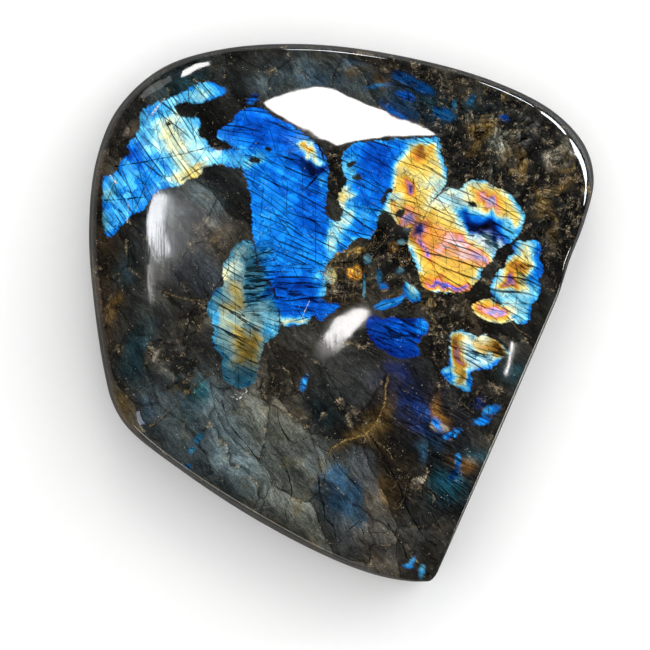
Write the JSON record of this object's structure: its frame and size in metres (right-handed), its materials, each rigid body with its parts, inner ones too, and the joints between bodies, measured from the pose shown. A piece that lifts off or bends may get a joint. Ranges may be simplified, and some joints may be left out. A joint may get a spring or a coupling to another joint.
{
  "type": "polished labradorite",
  "caption": "Hand-sized polished labradorite freeform with a low domed face, rounded shoulders and one straight flat cut, lying on its flat back.",
  "frame": {"origin": "on the surface that the stone lies on, under the middle of its bounding box", "axes": "+Z out of the polished face, up when the stone lies on its back; +Y lengthways towards the broad rounded end; +X across, towards the side with the flat cut"},
  "size_m": [0.126, 0.1343, 0.0371],
  "materials": {
    "stone": "polished"
  },
  "bodies": {
    "root": {"stone": "stone"}
  },
  "joints": []
}
